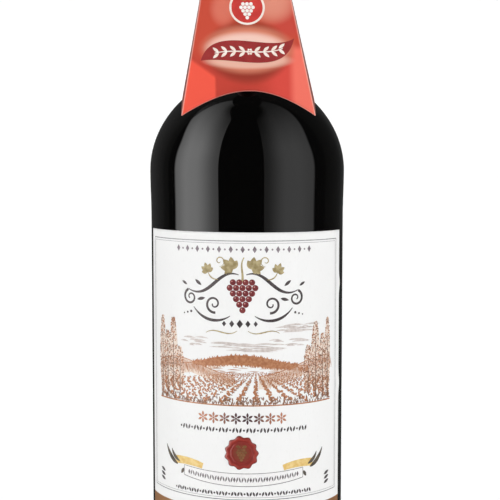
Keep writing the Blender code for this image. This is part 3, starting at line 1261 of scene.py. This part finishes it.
def draw_sprig(sheet, path, pairs):
    """A laurel sprig: leaves in pairs that point away from the middle, where a flower sits."""
    stroke(sheet, path, swelling(0.3, 0.5), 40, COLLAR_INK)
    for index in range(2 * pairs):
        way = 1.0 if index >= pairs else -1.0
        x, y = path((index + 0.5 + 0.35 * way) / (2.0 * pairs))
        for side in (-1.0, 1.0):
            lens(sheet, x, y + 1.05 * side, 3.0, 1.15, 40.0 * way * side, 0.022)
    x, y = path(0.5)
    for petal in range(6):
        turn = math.radians(60.0 * petal)
        disc(sheet, x + 0.85 * math.cos(turn), y + 0.85 * math.sin(turn), 0.42, 0.022, 10)


def emblem_field(u, v):
    turn, radius = 2.0 * math.pi * u, EMBLEM_RADIUS * v
    return EMBLEM_X + radius * math.cos(turn), EMBLEM_HEIGHT + radius * math.sin(turn)


def draw_emblem(ring, field, fruit, leaves):
    """A bunch of grapes with two leaves in a ring."""
    round_path = spiral(EMBLEM_X, EMBLEM_HEIGHT, EMBLEM_RADIUS, EMBLEM_RADIUS, 0.0, 1.0)
    stroke(ring, round_path, 0.8, 72, COLLAR_INK)
    patch(field, emblem_field, 48, 7)
    for x, y in bunch(EMBLEM_X, EMBLEM_HEIGHT + 1.3, SMALL_BUNCH, 1.5, -1.3):
        disc(fruit, x, y, 0.7, COLLAR_INK)
    lens(leaves, EMBLEM_X - 1.8, EMBLEM_HEIGHT + 3.7, 3.6, 1.7, 150.0, COLLAR_INK)
    lens(leaves, EMBLEM_X + 2.0, EMBLEM_HEIGHT + 3.6, 3.1, 1.5, 30.0, COLLAR_INK)


def make_collar_print():
    """The print that stands on the card: all of it in front and behind, and a sprig at the sides."""
    dark_red = ink("dark_red_ink", (155, 28, 28), (168, 38, 36), 0.4, 260.0)
    bright_red = ink("bright_red_ink", (204, 42, 34), (218, 54, 44), 0.4, 260.0)
    cream = ink("cream_ink", (246, 226, 212), (255, 244, 236), 0.4)
    white = ink("white_ink", (248, 240, 232), (255, 252, 248), 0.4)
    green = ink("leaf_green_ink", (96, 142, 62), (124, 168, 82), 0.4)
    for side, view in enumerate(("front", "right", "back", "left")):
        sprig = bmesh.new()
        if side % 2:
            draw_sprig(sprig, line((-7.0, 24.4), (7.0, 24.4)), 2)
        else:
            band, ring, field, fruit, leaves = (bmesh.new() for _ in range(5))
            draw_sprig(sprig, band_middle, 4)
            patch(band, band_shape, 60, 10)
            draw_emblem(ring, field, fruit, leaves)
            print_on_collar("collar_band_" + view, band, side, dark_red)
            print_on_collar("emblem_field_" + view, field, side, bright_red, COLLAR_INK)
            print_on_collar("emblem_ring_" + view, ring, side, cream)
            print_on_collar("emblem_fruit_" + view, fruit, side, white)
            print_on_collar("emblem_leaves_" + view, leaves, side, green)
        print_on_collar("collar_sprig_" + view, sprig, side, cream)


# Studio

def make_stage():
    """A pale round floor that curves up into a wall, so that no horizon shows."""
    flat, wall_top = 1.2, 2.4
    sweep = arc((flat, flat), flat, -90.0, 0.0, 24)
    form = turned([(0.0, 0.0), (flat, 0.0)] + sweep[1:] + [(2.0 * flat, wall_top)], 96, 0.0001)
    bmesh.ops.reverse_faces(form, faces=form.faces)
    floor = finish_mesh("studio_floor", form)
    paint = Paint("white_floor", 0.9, Emission_Strength=0.34, Emission_Color=(1.0, 1.0, 1.0, 1.0))
    paint.feed(Base_Color=paint.blend(paint.noise(3.0), (0.86, 0.86, 0.86), (0.89, 0.89, 0.89)))
    floor.data.materials.append(paint.material)
    floor.visible_glossy = False


SOFTBOX_DISTANCE = 1.25
SOFTBOX_CENTRE = Vector((0.0, 0.0, 0.19))
SOFTBOX_LOW, SOFTBOX_HIGH = -57.0, 78.0


def way_out(azimuth, elevation):
    """A direction from angles in degrees; azimuth is from the front, positive to the right."""
    a, e = math.radians(azimuth), math.radians(elevation)
    return Vector((math.sin(a) * math.cos(e), -math.cos(a) * math.cos(e), math.sin(e)))


def make_softbox(name, strength, azimuth, brightness):
    """A curved light that shows only as a reflection: a bright band in gloss.

    Both azimuth and brightness are functions of a share across it and an elevation. It reaches
    below the floor, which gloss doesn't show, so that the band runs down to the bottle's foot.
    """
    form = bmesh.new()
    glow_layer = form.verts.layers.float.new("glow")
    bmesh.ops.create_grid(form, x_segments=60, y_segments=90, size=0.5)
    for vertex in form.verts:
        share = vertex.co.x + 0.5
        elevation = SOFTBOX_LOW + (SOFTBOX_HIGH - SOFTBOX_LOW) * (vertex.co.y + 0.5)
        vertex[glow_layer] = brightness(share, elevation)
        vertex.co = SOFTBOX_CENTRE + SOFTBOX_DISTANCE * way_out(azimuth(share, elevation), elevation)
    panel = finish_mesh(name, form)
    paint = Paint(
        name, roughness=1.0, Base_Color=(0.0, 0.0, 0.0, 1.0), Specular_IOR_Level=0.0,
        Emission_Strength=strength,
    )
    paint.feed(Emission_Color=paint.blend(paint.stored("glow"), (0.0, 0.0, 0.0), (1.0, 1.0, 1.0)))
    panel.data.materials.append(paint.material)
    panel.visible_camera = False
    panel.visible_diffuse = False
    panel.visible_shadow = False


def side_azimuth(inner, outer, outer_lean):
    """Sides of a tall softbox: the outer one leans back with height, and the inner one closes in."""
    def azimuth(share, elevation):
        lean = outer_lean * smooth_step((elevation - 22.0) / 42.0)
        closing = 0.5 * smooth_step((elevation - 60.0) / 18.0)
        low = inner + (outer - inner) * closing
        return low + (outer + lean - low) * share

    return azimuth


def side_brightness(inner_share, full_at, fall_from, fall):
    """Bright in the middle, dimmer at the inner edge, and a little at the outer edge and above."""
    def brightness(share, elevation):
        rise = inner_share + (1.0 - inner_share) * smooth_step(share / full_at)
        drop = 1.0 - fall * smooth_step((share - fall_from) / (1.0 - fall_from))
        end = 1.0 - 0.7 * smooth_step((share - 0.955) / 0.045)
        above = 1.0 - 0.86 * smooth_step((elevation - 18.0) / 62.0)
        below = 1.0 - 0.6 * smooth_step((-15.0 - elevation) / 40.0)
        return rise * drop * end * above * below

    return brightness


def rear_azimuth(share, elevation):
    return 104.0 + 152.0 * share


def rear_brightness(share, elevation):
    """The dim room behind the bottle, which shows in its rims: it reaches further on the left."""
    azimuth = rear_azimuth(share, elevation)
    right = 0.68 * smooth_step((azimuth - 124.0) / 26.0)
    turned_left = 360.0 - azimuth
    left = smooth_step((turned_left - 104.0) / 15.0) * (1.0 - 0.5 * smooth_step((turned_left - 132.0) / 40.0))
    return max(right, left)


def make_area_light(name, azimuth, elevation, distance, size, power):
    """A soft light for the matt surfaces; it doesn't show in gloss."""
    light = bpy.data.lights.new(name, "AREA")
    light.shape = "RECTANGLE"
    light.size, light.size_y = size
    light.energy = power
    lamp = new_object(name, light)
    way = way_out(azimuth, elevation)
    lamp.location = SOFTBOX_CENTRE + way * distance
    lamp.rotation_euler = way.to_track_quat("Z", "Y").to_euler()
    lamp.visible_camera = False
    lamp.visible_glossy = False


def make_lights():
    left, right = side_azimuth(-33.0, -92.8, -24.0), side_azimuth(19.5, 85.2, 16.0)
    make_softbox("softbox_left", 3.4, left, side_brightness(0.33, 0.50, 0.66, 0.45))
    make_softbox("softbox_right", 1.06, right, side_brightness(0.25, 0.44, 0.60, 0.28))
    make_softbox("rear_glow", 0.095, rear_azimuth, rear_brightness)
    make_area_light("key_left", -38.0, 38.0, 1.3, (0.9, 1.0), 0.40)
    make_area_light("key_right", 46.0, 36.0, 1.4, (0.9, 1.0), 1.52)
    make_area_light("front_fill", 4.0, 26.0, 1.6, (1.2, 1.0), 1.15)
    make_area_light("overhead", 180.0, 78.0, 2.0, (2.4, 2.4), 19.0)
    world = bpy.data.worlds.new("studio_air")
    world.use_nodes = True
    world.node_tree.nodes["Background"].inputs["Color"].default_value = (0.030, 0.030, 0.032, 1.0)
    bpy.context.scene.world = world


def make_camera():
    data = bpy.data.cameras.new("camera")
    data.sensor_width = 36.0
    data.lens = FOCAL_PIXELS / IMAGE_SIZE * data.sensor_width
    data.clip_start = 0.01
    data.clip_end = 20.0
    camera = new_object("camera", data)
    camera.location = CAMERA_PLACE
    camera.rotation_euler = (0.5 * math.pi - CAMERA_PITCH, 0.0, 0.0)
    bpy.context.scene.camera = camera


make_glass()
make_capsule()
make_collar()
make_collar_print()
make_paper()
make_frame_lines()
make_bronze_band()
make_small_rows()
make_gradient_row()
make_title_ornament()
make_landscape()
make_ribbon()
make_seal()
make_stage()
make_lights()
make_camera()
bpy.context.scene.view_settings.view_transform = "Standard"
